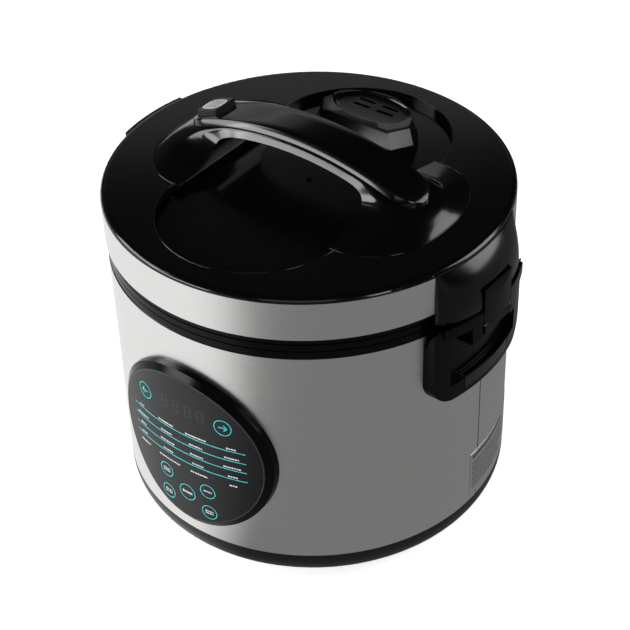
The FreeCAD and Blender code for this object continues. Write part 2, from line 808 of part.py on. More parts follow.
def make_steam_cap():
    z0 = well_floor + 0.3
    half = vent_hw
    fy = vent_front_y
    by = vent_back_y
    corner = vent_corner
    side = fy + vent_side
    edges = [
        Part.LineSegment(V(-half, side, z0), V(-half + corner, fy, z0)).toShape(),
        Part.LineSegment(V(-half + corner, fy, z0), V(half - corner, fy, z0)).toShape(),
        Part.LineSegment(V(half - corner, fy, z0), V(half, side, z0)).toShape(),
        Part.Arc(V(half, side, z0), V(0, by, z0), V(-half, side, z0)).toShape(),
    ]
    outline = Part.Face(Part.Wire(edges)).translated(V(vent_cap_x, 0, 0))
    cap = outline.extrude(V(0, 0, vent_top - z0))
    top = [e for e in cap.Edges if all(abs(v.Z - vent_top) < 0.01 for v in e.Vertexes)]
    cap = cap.makeFillet(vent_fillet, top)
    dish = V(vent_cap_x, vent_y + vent_dish_y, vent_top - vent_dish_d)
    ellipse = Part.Ellipse(dish, vent_dish_a, vent_dish_b)
    cap = cap.cut(Part.Face(Part.Wire(ellipse.toShape())).extrude(V(0, 0, vent_h)))
    roof = vent_top - vent_dish_d - skin
    hollow = disc(vent_stem_r - 2.0, z0 - vent_stem_l, roof, 0, vent_y)
    cap = cap.fuse(disc(vent_stem_r, z0 - vent_stem_l, z0, 0, vent_y)).cut(hollow)
    for x in (vent_cap_x - vent_hole_x, vent_cap_x + vent_hole_x):
        for y in [vent_y + step for step in vent_hole_ys]:
            cap = cap.cut(box(x - vent_hole_hl, x + vent_hole_hl, y - vent_hole_hw, y + vent_hole_hw,
                              roof, vent_top))
    return cap


def arch_band(r_out, r_in, half_x, half_y):
    outer = rod_y(r_out, half_y, 0, arch_z).cut(rod_y(r_in, half_y, 0, arch_z))
    return outer.common(box(-half_x, half_x, -half_y, half_y, arch_z, handle_top + 1))


def leg_section(side, z, x_in, half, x_mid, mid_half, x_out):
    # level section of a handle leg: a straight inner edge, two flanks and a round outer end
    a = V(side * x_in, -half, z)
    b = V(side * x_in, half, z)
    c = V(side * x_mid, mid_half, z)
    d = V(side * x_mid, -mid_half, z)
    edges = [
        Part.LineSegment(a, b).toShape(),
        Part.LineSegment(b, c).toShape(),
        Part.Arc(c, V(side * x_out, 0, z), d).toShape(),
        Part.LineSegment(d, a).toShape(),
    ]
    return Part.Wire(edges)


def make_leg(side):
    # the leg spreads from the handle's width to a broad foot on the lid
    rise = handle_neck_z - lid_top
    wires = []
    for share, half, reach in ((0.0, foot_hw, 0.0), (0.22, 0.66 * foot_hw, 4.0),
                               (0.52, 0.44 * foot_hw, 8.0), (1.0, bridge_hw, 10.0)):
        x_in = leg_in_x - share
        x_mid = leg_in_x + 0.45 * (foot_out_x - leg_in_x)
        wires.append(leg_section(side, lid_top + share * rise, x_in, half, x_mid, 0.82 * half,
                                 foot_out_x - reach))
    return Part.makeLoft(wires, True, False)


def make_handle_bridge():
    r_out = handle_r - cap_t
    shape = arch_band(r_out, r_out - bridge_t, bridge_end_x, bridge_hw)
    for side in (-1, 1):
        shape = shape.fuse(make_leg(side))
    over = rod_y(handle_r * 2, foot_hw + 5, 0, arch_z).cut(rod_y(r_out, foot_hw + 5, 0, arch_z))
    shape = shape.cut(over)
    pocket = button_box(move_gap, button_floor, handle_top + 5)
    stem = disc(button_stem_r + move_gap, lid_top - 1, button_floor + 1, button_x, 0)
    return shape.cut(pocket).cut(stem).removeSplitter()


def button_box(margin, z0, z1):
    flats = box(button_x - button_hl - margin, button_x + button_hl + margin,
                -button_hw - margin, button_hw + margin, z0, z1)
    return flats.common(disc(button_hl + margin, z0, z1, button_x, 0))


button_floor = lid_top + 6.0
button_low = button_floor + 8.0
button_top = handle_top - 8.0


def make_handle_cap():
    r_in = handle_r - cap_t
    cap = arch_band(handle_r, r_in, cap_end_x, cap_hw)
    plan = box(-cap_end_x + cap_hw, cap_end_x - cap_hw, -cap_hw, cap_hw, lid_top, tall)
    for x in (-cap_end_x + cap_hw, cap_end_x - cap_hw):
        plan = plan.fuse(disc(cap_hw, lid_top, tall, x, 0))
    cap = cap.common(plan)
    return cap.cut(button_box(move_gap, button_floor, handle_top + 5)).removeSplitter()


def make_button():
    x0 = button_x - button_hl
    x1 = button_x + button_hl
    pts = [(x0, -button_hw, button_low), (x1, -button_hw, button_low), (x1, -button_hw, button_top - 1.5),
           (x1 - 5, -button_hw, button_top + 1.5), (x0 + 3, -button_hw, button_top - 4.0),
           (x0, -button_hw, button_top - 7.0)]
    body = slab(pts, (0, 1, 0), 2 * button_hw)
    round_plan = disc(button_hl, lid_top, tall, button_x, 0)
    return body.common(round_plan).fuse(disc(button_stem_r, band_z + 10.0, button_low, button_x, 0))


def make_button_spring():
    return tube(8.5, 6.5, button_floor, button_low - button_travel - 1.0).translated(V(button_x, 0, 0))


catch_x = hook_x - hook_t / 2 - hook_nose - catch_clear - catch_lip
hook_low = ring_z + 0.4
nose_h = 2.0


def make_hook():
    x0 = hook_x - hook_t / 2
    x1 = hook_x + hook_t / 2
    arm_z = band_z + 0.4
    hook = box(x0, x1, -hook_hw, hook_hw, hook_low, arm_z + 4)
    nose = box(x0 - hook_nose, x0, -hook_hw, hook_hw, hook_low, hook_low + nose_h)
    arm = box(x0, button_x + 5, -5, 5, arm_z, arm_z + 4)
    return hook.fuse(nose).fuse(arm)


def make_catch():
    # steel tongue on the collar, its lip above the hook's nose
    top = collar_top + catch_h
    post = box(catch_x - catch_t, catch_x, -hook_hw, hook_hw, collar_top, top)
    return post.fuse(box(catch_x, catch_x + catch_lip, -hook_hw, hook_hw, top - 1.5, top)).removeSplitter()


# Write every piece
save("base_pan", make_base())
save("rubber_feet", group(disc(foot_r, 0, foot_h + foot_sink, x, y) for x, y in foot_places))
save("base_screws", screw_group(boss_places, 4.0, foot_h + 0.4, 3.0, shield_floor_z + 4.0))
save("body_shell", make_shell())
save("top_collar", make_collar())
save("heat_shield", make_shield())
save("heating_plate", make_plate())
save("inner_pot", make_pot())
save("sensor_plunger", make_sensor())
save("sensor_bracket", make_sensor_bracket())
save("sensor_spring", make_sensor_spring())
save("power_board", make_power_board())
save("thermal_fuse", make_thermal_fuse())
save("power_inlet", make_inlet())
save("rating_plate", make_rating_plate())
save("control_bezel", make_bezel())
save("control_film", make_film())
save("membrane_sheet", make_membrane())
save("control_board", make_control_board())
save("board_screws", make_board_screws())
save("display_module", make_display())
for key_name, key_deg, key_z, key_r in keys:
    save(key_name, make_key(key_deg, key_z, key_r))
save("hinge_bracket", make_bracket())
save("bracket_screws", make_bracket_screws())
save("hinge_pin", make_pin())
save("condensate_cup", make_cup())
save("hinge_arm", make_arm())
save("hinge_cover", make_hinge_cover())
save("lid_frame", make_lid_frame())
save("lid_band", make_band())
save("lid_cover", make_cover())
save("lid_screws", make_lid_screws())
save("inner_lid", make_inner_lid())
save("lid_gasket", make_gasket())
save("centre_grommet", make_grommet())
save("steam_seat", make_steam_seat())
save("steam_cap", make_steam_cap())
save("handle_bridge", make_handle_bridge())
save("handle_cap", make_handle_cap())
save("release_button", make_button())
save("button_spring", make_button_spring())
save("latch_hook", make_hook())
save("latch_catch", make_catch())
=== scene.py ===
import bpy
import bmesh
import json
import math
from mathutils import Matrix, Vector


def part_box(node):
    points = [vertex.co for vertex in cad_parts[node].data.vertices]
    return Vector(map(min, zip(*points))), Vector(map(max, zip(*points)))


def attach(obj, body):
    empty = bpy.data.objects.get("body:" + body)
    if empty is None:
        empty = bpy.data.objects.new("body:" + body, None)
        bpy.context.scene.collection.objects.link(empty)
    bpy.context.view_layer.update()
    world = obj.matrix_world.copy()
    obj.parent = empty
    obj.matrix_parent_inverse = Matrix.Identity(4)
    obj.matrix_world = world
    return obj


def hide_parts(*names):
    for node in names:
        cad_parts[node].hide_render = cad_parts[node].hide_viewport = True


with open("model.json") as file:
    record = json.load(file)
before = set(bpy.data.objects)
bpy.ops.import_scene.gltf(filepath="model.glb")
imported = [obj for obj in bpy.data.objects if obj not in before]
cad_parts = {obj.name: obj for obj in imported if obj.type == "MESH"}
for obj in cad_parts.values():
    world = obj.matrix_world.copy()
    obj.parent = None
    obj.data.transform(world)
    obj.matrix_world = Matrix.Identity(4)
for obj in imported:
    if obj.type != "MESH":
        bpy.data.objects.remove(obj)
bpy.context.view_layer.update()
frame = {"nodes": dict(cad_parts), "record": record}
nodes = frame["nodes"]
MM = 0.001

# Camera of the photograph: degrees, millimetres and lens, fitted to the lid's and the body's ellipses
VIEW_AZ = 38.0
VIEW_EL = 37.907
VIEW_ROLL = -1.885
VIEW_DIST = 1039.8
VIEW_SHIFT = (-4.07, 85.58)
VIEW_TARGET_Z = 228.0
FOCAL_PIXELS = 1663.3
PHOTO_PIXELS = 630.0
SENSOR = 36.0
LENS = FOCAL_PIXELS / PHOTO_PIXELS * SENSOR


def box_mm(name):
    # low and high corner of a node's box, in millimetres
    low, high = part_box(name)
    return [v / MM for v in low], [v / MM for v in high]


# Places read from the frame, in millimetres
film_lo, film_hi = box_mm("control_film")
cap_hi = box_mm("handle_cap")[1]
foot_lo, foot_hi = box_mm("handle_bridge")
button_lo, button_hi = box_mm("release_button")
vent_lo, vent_hi = box_mm("steam_cap")
seat_lo, seat_hi = box_mm("steam_seat")
cover_lo, cover_hi = box_mm("hinge_cover")
arm_hi = box_mm("hinge_arm")[1]
bracket_lo = box_mm("hinge_bracket")[0]
shell_lo, shell_hi = box_mm("body_shell")
plate_lo, plate_hi = box_mm("rating_plate")
LID_TOP = box_mm("lid_cover")[1][2]
BAND_R = box_mm("lid_band")[1][0]
FILM_R = -film_lo[1]
PRINT_LIFT = 0.06
# widths of the short strokes that stand for print
DASHES = (1.5, 1.1, 1.8, 1.2, 1.6, 1.0)


def link(obj):
    bpy.context.scene.collection.objects.link(obj)
    return obj


def mesh_object(name, verts, faces, smooth=True):
    mesh = bpy.data.meshes.new(name)
    mesh.from_pydata([tuple(v) for v in verts], [], faces)
    mesh.validate()
    mesh.polygons.foreach_set("use_smooth", [smooth] * len(mesh.polygons))
    mesh.update()
    return link(bpy.data.objects.new(name, mesh))


def recalc_normals(obj):
    bm = bmesh.new()
    bm.from_mesh(obj.data)
    bmesh.ops.recalc_face_normals(bm, faces=bm.faces)
    bm.to_mesh(obj.data)
    bm.free()


# Materials
MATERIALS = {}


def new_material(name):
    mat = bpy.data.materials.new(name)
    mat.use_nodes = True
    MATERIALS[name] = mat
    return mat.node_tree, mat.node_tree.nodes["Principled BSDF"]


def node(tree, kind, **values):
    made = tree.nodes.new(kind)
    for key, value in values.items():
        setattr(made, key, value)
    return made


def object_point(tree):
    return node(tree, "ShaderNodeTexCoord").outputs["Object"]


def noise(tree, vector, scale, detail=3.0, rough=0.5):
    made = node(tree, "ShaderNodeTexNoise")
    made.inputs["Scale"].default_value = scale
    made.inputs["Detail"].default_value = detail
    made.inputs["Roughness"].default_value = rough
    tree.links.new(vector, made.inputs["Vector"])
    return made.outputs["Fac"]


def ramp(tree, value, low, high, a, b):
    # a up to low, b from high on, and even in between
    made = node(tree, "ShaderNodeMapRange")
    made.inputs["From Min"].default_value = low
    made.inputs["From Max"].default_value = high
    made.inputs["To Min"].default_value = a
    made.inputs["To Max"].default_value = b
    tree.links.new(value, made.inputs["Value"])
    return made.outputs["Result"]


def bump(tree, shader, height, strength):
    made = node(tree, "ShaderNodeBump")
    made.inputs["Strength"].default_value = strength
    made.inputs["Distance"].default_value = 0.0002
    tree.links.new(height, made.inputs["Height"])
    tree.links.new(made.outputs["Normal"], shader.inputs["Normal"])


def colour_mix(tree, factor, a, b):
    made = node(tree, "ShaderNodeMix", data_type="RGBA")
    made.inputs["A"].default_value = (*a, 1)
    made.inputs["B"].default_value = (*b, 1)
    tree.links.new(factor, made.inputs["Factor"])
    return made.outputs["Result"]


def vary_roughness(tree, shader, pattern, low, high):
    tree.links.new(ramp(tree, pattern, 0.3, 0.7, low, high), shader.inputs["Roughness"])


def polar_point(tree, around, up):
    # (angle * around, 0, height * up), so that noise runs in streaks round the drum
    split = node(tree, "ShaderNodeSeparateXYZ")
    tree.links.new(object_point(tree), split.inputs[0])
    angle = node(tree, "ShaderNodeMath", operation="ARCTAN2")
    tree.links.new(split.outputs["Y"], angle.inputs[0])
    tree.links.new(split.outputs["X"], angle.inputs[1])
    joined = node(tree, "ShaderNodeCombineXYZ")
    for source, factor, socket in ((angle.outputs[0], around, "X"), (split.outputs["Z"], up, "Z")):
        scaled = node(tree, "ShaderNodeMath", operation="MULTIPLY")
        scaled.inputs[1].default_value = factor
        tree.links.new(source, scaled.inputs[0])
        tree.links.new(scaled.outputs[0], joined.inputs[socket])
    return joined.outputs[0]


def brushed_steel(name, colour, rough, around, up):
    dark, pale = 0.83, 1.14
    tree, shader = new_material(name)
    point = polar_point(tree, around, up)
    streak = noise(tree, point, scale=1.0, detail=4.0, rough=0.65)
    fine = noise(tree, point, scale=3.1, detail=2.0)
    tone = colour_mix(tree, streak, [c * dark for c in colour], [min(1.0, c * pale) for c in colour])
    tree.links.new(tone, shader.inputs["Base Color"])
    vary_roughness(tree, shader, fine, rough - 0.04, rough + 0.05)
    shader.inputs["Metallic"].default_value = 1.0
    shader.inputs["Anisotropic"].default_value = 0.55
    bump(tree, shader, streak, 0.16)


def plastic(name, colour, rough, grain=900.0, depth=0.02, spread=0.03, shine=0.5):
    dark, pale = 0.85, 1.15
    tree, shader = new_material(name)
    point = object_point(tree)
    grains = noise(tree, point, scale=grain, detail=2.0)
    broad = noise(tree, point, scale=14.0)
    tone = colour_mix(tree, broad, [c * dark for c in colour], [c * pale for c in colour])
    tree.links.new(tone, shader.inputs["Base Color"])
    vary_roughness(tree, shader, broad, max(0.0, rough - spread), rough + spread)
    shader.inputs["Specular IOR Level"].default_value = shine
    bump(tree, shader, grains, depth)


def metal(name, colour, rough, grain=500.0):
    dark = 0.92
    tree, shader = new_material(name)
    grains = noise(tree, object_point(tree), scale=grain)
    tone = colour_mix(tree, grains, [c * dark for c in colour], colour)
    tree.links.new(tone, shader.inputs["Base Color"])
    vary_roughness(tree, shader, grains, rough - 0.05, rough + 0.05)
    shader.inputs["Metallic"].default_value = 1.0
    bump(tree, shader, grains, 0.05)


def speckled(name, base, fleck, rough):
    tree, shader = new_material(name)
    spots = noise(tree, object_point(tree), scale=1400.0, detail=1.0)
    tone = colour_mix(tree, ramp(tree, spots, 0.66, 0.72, 0.0, 1.0), base, fleck)
    tree.links.new(tone, shader.inputs["Base Color"])
    shader.inputs["Roughness"].default_value = rough
    bump(tree, shader, spots, 0.06)


def make_metals():
    steel = (0.80, 0.795, 0.785)
    brushed_steel("brushed_steel", steel, rough=0.30, around=2.2, up=2600.0)
    brushed_steel("band_steel", steel, rough=0.30, around=420.0, up=60.0)
    metal("zinc_steel", (0.56, 0.56, 0.55), rough=0.28)
    metal("aluminium", (0.66, 0.66, 0.67), rough=0.33)
    metal("foil", (0.70, 0.70, 0.70), rough=0.38, grain=900.0)
    metal("seam_steel", (0.16, 0.16, 0.16), rough=0.45)
    speckled("nonstick", (0.022, 0.022, 0.023), (0.16, 0.16, 0.16), rough=0.42)


def make_mouldings():
    deep_black = (0.0018, 0.0018, 0.002)
    plastic("gloss_black", (0.003, 0.003, 0.0033), rough=0.125, grain=1200.0, depth=0.004, spread=0.02,
            shine=0.36)
    plastic("satin_black", (0.006, 0.006, 0.0065), rough=0.34, grain=1500.0, depth=0.05, shine=0.34)
    plastic("bezel_black", deep_black, rough=0.22, grain=1300.0, depth=0.01, shine=0.10)
    plastic("cover_black", deep_black, rough=0.20, grain=1300.0, depth=0.01, shine=0.30)
    plastic("panel_film", (0.010, 0.0105, 0.0115), rough=0.34, grain=2600.0, depth=0.05, shine=0.24)
    plastic("rubber", (0.02, 0.02, 0.02), rough=0.75, depth=0.12)
    plastic("silicone", (0.50, 0.50, 0.48), rough=0.45, grain=700.0, depth=0.03)
    plastic("circuit_board", (0.03, 0.14, 0.06), rough=0.45, grain=400.0, depth=0.04)
    plastic("display_glass", (0.006, 0.006, 0.007), rough=0.06, depth=0.0)
    plastic("button_grey", (0.020, 0.020, 0.021), rough=0.16, grain=1600.0)
    # pale colour of the button's top patch: a painted highlight on the glossy button
    plastic("button_patch_highlight", (0.75, 0.75, 0.74), rough=0.38, grain=1600.0, depth=0.04)


def make_prints():
    inks = (
        ("print_teal", (0.05, 0.64, 0.66), 0.40),
        ("print_white", (0.78, 0.79, 0.80), 0.40),
        ("print_grey", (0.017, 0.018, 0.019), 0.30),
        # not ink: a painted highlight, the lighter line along the film's rim
        ("painted_edge_highlight", (0.10, 0.10, 0.10), 0.30),
    )
    for name, colour, rough in inks:
        plastic(name, colour, rough, grain=3000.0, depth=0.01)


def paint(obj, name):
    obj.data.materials.clear()
    obj.data.materials.append(MATERIALS[name])


def dress_piece(obj, material, body, node_name=None):
    paint(obj, material)
    if node_name:
        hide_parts(node_name)
    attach(obj, body)


def dress_cad_nodes():
    for part in frame["record"]["subparts"]:
        paint(nodes[part["node"]], part["material_slot"])
    paint(nodes["lid_band"], "band_steel")
    for name in ("control_bezel", "hinge_arm", "hinge_bracket", "top_collar", "lid_frame"):
        paint(nodes[name], "bezel_black")


# Small rounded edges on the moulded pieces: width of the rounding in millimetres
SOFT_EDGES = {
    "hinge_arm": 0.8, "hinge_bracket": 0.9, "release_button": 0.8, "top_collar": 0.6, "lid_frame": 0.5,
    "control_bezel": 0.5, "power_inlet": 0.5, "condensate_cup": 0.3,
}


def soften_edges():
    for name, width in SOFT_EDGES.items():
        mod = nodes[name].modifiers.new("soft_edges", "BEVEL")
        mod.width = width * MM
        mod.segments = 2
        mod.limit_method = "ANGLE"
        mod.angle_limit = math.radians(32.0)
        mod.harden_normals = False


# Building blocks of the smooth skins
def curve_through(rows, steps):
    # smooth curve through every row of values
    made = []
    for k in range(len(rows) - 1):
        before = rows[max(k - 1, 0)]
        after = rows[min(k + 2, len(rows) - 1)]
        for i in range(steps):
            t = i / steps
            values = []
            for p, a, b, q in zip(before, rows[k], rows[k + 1], after):
                values.append(0.5 * (2 * a + (b - p) * t + (2 * p - 5 * a + 4 * b - q) * t * t
                                     + (3 * a - p - 3 * b + q) * t ** 3))
            made.append(values)
    made.append(list(rows[-1]))
    return made


def skin_loops(name, loops):
    # closed skin through loops of equally many points
    n = len(loops[0])
    verts = [v for loop in loops for v in loop]
    faces = []
    for k in range(len(loops) - 1):
        for i in range(n):
            j = (i + 1) % n
            faces.append((k * n + i, k * n + j, (k + 1) * n + j, (k + 1) * n + i))
    faces.append(tuple(range(n)))
    faces.append(tuple(range(len(verts) - n, len(verts))))
    obj = mesh_object(name, verts, faces)
    recalc_normals(obj)
    return obj


def prism(name, outline, low, high):
    # upright solid over a flat outline
    return skin_loops(name, [[Vector((x, y, z)) * MM for x, y in outline] for z in (low, high)])


def circle_loop(x, y, r, z, count=48):
    turns = [2 * math.pi * k / count for k in range(count)]
    return [Vector((x + r * math.cos(a), y + r * math.sin(a), z)) * MM for a in turns]


def bake_modifiers(obj):
    graph = bpy.context.evaluated_depsgraph_get()
    baked = bpy.data.meshes.new_from_object(obj.evaluated_get(graph))
    obj.modifiers.clear()
    obj.data = baked


def cut_away(obj, cutter):
    mod = obj.modifiers.new("cut", "BOOLEAN")
    mod.operation = "DIFFERENCE"
    mod.solver = "EXACT"
    mod.object = cutter
    bake_modifiers(obj)
    bpy.data.objects.remove(cutter)


def smooth_by_angle(obj, degrees):
    obj.data.polygons.foreach_set("use_smooth", [True] * len(obj.data.polygons))
    obj.data.set_sharp_from_angle(angle=math.radians(degrees))


# Handle: one smooth shell that spreads into the two feet on the lid, and its cap
ARCH_R = 208.0
ARCH_Z = cap_hi[2] - ARCH_R
CAP_T = 4.2
CAP_REACH = cap_hi[0]
CAP_HALF = cap_hi[1]
# half of the cap's section from its edge to its middle, as shares of its half width and thickness
CAP_SECTION = ((-1.0, 0.02), (-0.985, 0.16), (-0.90, 0.80), (-0.875, 0.92), (-0.83, 0.97), (-0.5, 0.985),
               (0.0, 1.0))
BRIDGE_T = 5.2
BRIDGE_HALF = 18.2
FOOT_Z = foot_lo[2]
FOOT_REACH = foot_hi[0]
FOOT_HALF = foot_hi[1]
BUTTON_X = (button_lo[0] + button_hi[0]) / 2
BUTTON_GAP = 0.6
BUTTON_WELL_Z = FOOT_Z + 6.0


def arch(x, sink):
    # height of the handle's arch, a depth below the top of the cap
    return ARCH_Z + math.sqrt((ARCH_R - sink) ** 2 - x * x)


def handle_stations():
    # right half from the middle, in millimetres: x and z of the underside, x and z of the outside,
    # half width, squareness of the section, lean of its flanks
    fan = 1.03
    under = CAP_T + BRIDGE_T
    rows = [(x, arch(x, under), x * fan, arch(x * fan, CAP_T), BRIDGE_HALF, 12.0, 2.6)
            for x in (0, 14, 28, 40)]
    rows += [
        (49.0, arch(49, under + 0.6), 56.0, arch(56, CAP_T), 18.3, 11.0, 2.4),
        (54.6, arch(49, under + 3.6), 67.0, arch(67, CAP_T), 19.8, 8.0, 1.6),
        (56.8, FOOT_Z + 10.8, 79.0, arch(79, CAP_T), 22.5, 5.0, 1.0),
        (57.4, FOOT_Z + 6.6, FOOT_REACH - 12.0, FOOT_Z + 8.6, 29.5, 3.2, 0.6),
        (57.5, FOOT_Z + 3.0, FOOT_REACH - 4.6, FOOT_Z + 3.8, 43.5, 2.6, 0.0),
        (57.3, FOOT_Z, FOOT_REACH, FOOT_Z, FOOT_HALF, 2.35, 0.0),
    ]
    return rows


def handle_loop(station, side):
    # flat underside, flanks that lean inwards and a rounded outside, in the plane of the station
    x0, z0, x1, z1, half, square, lean = station
    flat = 16
    crown = 56
    points = []
    for i in range(flat):
        points.append((side * x0, -half + 2 * half * i / flat, z0))
    for i in range(crown):
        a = math.pi * i / crown
        c = math.cos(a)
        t = math.sin(a) ** (2.0 / square)
        y = half * math.copysign(abs(c) ** (2.0 / square), c) * (1.0 - lean / half * t)
        points.append((side * (x0 + t * (x1 - x0)), y, z0 + t * (z1 - z0)))
    return [Vector(p) * MM for p in points]


def button_cutter():
    # the button's round-sided well through the cap and into the handle
    r = (button_hi[0] - button_lo[0]) / 2 + BUTTON_GAP
    half = button_hi[1] + BUTTON_GAP
    count = 64
    outline = []
    for i in range(count):
        a = 2 * math.pi * i / count
        y = max(-half, min(half, r * math.sin(a)))
        outline.append((BUTTON_X + r * math.cos(a), y))
    return prism("button_cutter", outline, BUTTON_WELL_Z, BUTTON_WELL_Z + 60.0)


def make_handle():
    right = curve_through(handle_stations(), 7)
    loops = [handle_loop(station, -1) for station in reversed(right[1:])]
    loops += [handle_loop(station, 1) for station in right]
    shell = skin_loops("handle_shell", loops)
    cut_away(shell, button_cutter())
    smooth_by_angle(shell, 40.0)
    dress_piece(shell, "gloss_black", "lid", "handle_bridge")


def cap_loop(x, half, thick):
    # section of the cap: leaning flanks, slightly crowned top and a flat underside
    section = list(CAP_SECTION) + [(-u, v) for u, v in reversed(CAP_SECTION[:-1])]
    loop = [Vector((x, u * half, arch(x, CAP_T - thick * v))) * MM for u, v in section]
    for u in (0.6, 0.0, -0.6):
        loop.append(Vector((x, u * half, arch(x, CAP_T))) * MM)
    return loop


def make_handle_cap():
    nose = 16.0
    nose_steps = 14
    straight_steps = 24
    edge_share = 0.35
    start = CAP_REACH - nose
    tips = []
    for k in range(1, nose_steps):
        a = math.pi / 2 * k / nose_steps
        tips.append((start + nose * math.sin(a), math.cos(a)))
    stations = [(-x, w) for x, w in reversed(tips)]
    stations += [(start * k / straight_steps, 1.0) for k in range(-straight_steps, straight_steps + 1)]
    stations += tips
    loops = []
    for x, w in stations:
        loops.append(cap_loop(x, CAP_HALF * w, CAP_T * (edge_share + (1.0 - edge_share) * math.sqrt(w))))
    cap = skin_loops("handle_cap_skin", loops)
    cut_away(cap, button_cutter())
    smooth_by_angle(cap, 35.0)
    dress_piece(cap, "gloss_black", "lid", "handle_cap")


# Steam cap: drafted sides with a stepped skirt, a dished oval top and four slots
VENT_X = (vent_lo[0] + vent_hi[0]) / 2
VENT_HALF = (vent_hi[0] - vent_lo[0]) / 2
VENT_FRONT = vent_lo[1]
VENT_BACK = vent_hi[1]
VENT_MID_Y = (VENT_FRONT + VENT_BACK) / 2 + 1.0
VENT_TOP = vent_hi[2]
VENT_SKIRT = LID_TOP - 4.7
VENT_OVAL = (VENT_HALF - 9.0, (VENT_BACK - VENT_FRONT) / 2 - 6.5)
# share of the outline and height on the way up the sides, then share of the oval and depth in the dish
VENT_SIDES = ((1.0, VENT_SKIRT), (1.0, VENT_SKIRT + 3.2), (0.97, VENT_SKIRT + 3.8), (0.96, VENT_SKIRT + 4.4),
              (0.885, VENT_TOP - 1.6), (0.87, VENT_TOP - 0.5), (0.85, VENT_TOP))
VENT_DISH = ((1.04, 0.0), (1.0, 0.3), (0.97, 1.1), (0.92, 1.7), (0.80, 1.9))
SLOT_OFFSET_X = 9.0
SLOT_OFFSETS_Y = (0.5, 7.0)
SLOT_DEPTH = 4.5
STEM_X = (seat_lo[0] + seat_hi[0]) / 2
STEM_Y = (seat_lo[1] + seat_hi[1]) / 2
STEM_R = 12.0


def vent_outline():
    # straight front with two cut corners and a round back
    corner = 9.0
    back_steps = 48
    side_y = VENT_FRONT + 14.0
    h = VENT_HALF
    rise = VENT_BACK - side_y
    radius = (h * h + rise * rise) / (2 * rise)
    centre = VENT_BACK - radius
    span = math.asin(min(1.0, h / radius))
    corners = [(-h, side_y), (-h + corner, VENT_FRONT), (h - corner, VENT_FRONT), (h, side_y)]
    points = []
    for (xa, ya), (xb, yb), steps in zip(corners, corners[1:], (6, 20, 6)):
        points += [(xa + (xb - xa) * i / steps, ya + (yb - ya) * i / steps) for i in range(steps)]
    for i in range(back_steps):
        a = span - 2 * span * i / back_steps
        points.append((radius * math.sin(a), centre + radius * math.cos(a)))
    return [(VENT_X + x, y) for x, y in points]


def cut_slot(obj, x, y, low):
    half_l = 6.5
    half_w = 1.3
    count = 32
    outline = []
    for k in range(count):
        a = 2 * math.pi * k / count
        outline.append((x + math.copysign(half_l - half_w, math.cos(a)) + half_w * math.cos(a),
                        y + half_w * math.sin(a)))
    cut_away(obj, prism("slot_cutter", outline, low, low + 12.0))


def make_steam_cap():
    outline = vent_outline()
    loops = []
    for share, z in VENT_SIDES:
        loops.append([(VENT_X + (x - VENT_X) * share, VENT_MID_Y + (y - VENT_MID_Y) * share, z)
                      for x, y in outline])
    half_x, half_y = VENT_OVAL
    turns = [math.atan2((y - VENT_MID_Y) / half_y, (x - VENT_X) / half_x) for x, y in outline]
    for share, depth in VENT_DISH:
        loops.append([(VENT_X + half_x * share * math.cos(a), VENT_MID_Y + half_y * share * math.sin(a),
                       VENT_TOP - depth) for a in turns])
    cap = skin_loops("steam_cap_skin", [[Vector(p) * MM for p in loop] for loop in loops])
    for x in (VENT_X - SLOT_OFFSET_X, VENT_X + SLOT_OFFSET_X):
        for offset in SLOT_OFFSETS_Y:
            cut_slot(cap, x, VENT_MID_Y + offset, VENT_TOP - SLOT_DEPTH)
    smooth_by_angle(cap, 24.0)
    dress_piece(cap, "gloss_black", "vent_cap", "steam_cap")


def make_steam_stem():
    rings = ((STEM_R - 1.0, VENT_SKIRT - 12.0), (STEM_R, VENT_SKIRT - 11.0), (STEM_R, VENT_SKIRT + 1.0))
    stem = skin_loops("steam_stem", [circle_loop(STEM_X, STEM_Y, r, z) for r, z in rings])
    smooth_by_angle(stem, 30.0)
    dress_piece(stem, "satin_black", "vent_cap")


# Thin beads along the edge of the lid's well and round the handle's feet
WELL_HALF = 62.0
WELL_REACH = 114.0


def bead(name, path, thick):
    # round bead along a closed level path on the lid
    around = 8
    n = len(path)
    verts = []
    faces = []
    for i, point in enumerate(path):
        along = (path[(i + 1) % n] - path[i - 1]).normalized()
        out = Vector((along.y, -along.x, 0.0))
        for k in range(around):
            t = 2 * math.pi * k / around
            verts.append(point + (out * math.cos(t) + Vector((0, 0, math.sin(t)))) * thick * MM)
    for i in range(n):
        j = (i + 1) % n
        for k in range(around):
            m = (k + 1) % around
            faces.append((i * around + k, i * around + m, j * around + m, j * around + k))
    obj = mesh_object(name, verts, faces)
    recalc_normals(obj)
    dress_piece(obj, "gloss_black", "lid")


def make_beads():
    mid = WELL_REACH - WELL_HALF
    steps = 47
    half_turn = []
    for k in range(steps + 1):
        a = math.pi * k / steps
        half_turn.append(Vector((WELL_HALF * math.cos(a), mid + WELL_HALF * math.sin(a), LID_TOP)) * MM)
    bead("well_bead", half_turn + [Vector((-p.x, -p.y, p.z)) for p in half_turn], 0.45)
    foot = handle_stations()[-1]
    for name, side in (("left_foot_bead", -1), ("right_foot_bead", 1)):
        bead(name, handle_loop(foot, side), 0.4)


# Hinge cover: it swells from the lid's rim to the parting line and rolls in at both ends
COVER_TOP = cover_hi[2]
COVER_LOW = cover_lo[2]
COVER_HALF = cover_hi[1]
COVER_REACH = cover_hi[0]
COVER_BULGE_R = 100.0
COVER_STRAIGHT = 3.0
ARM_GAP_SIDE = 0.6
ARM_GAP_TOP = 1.2


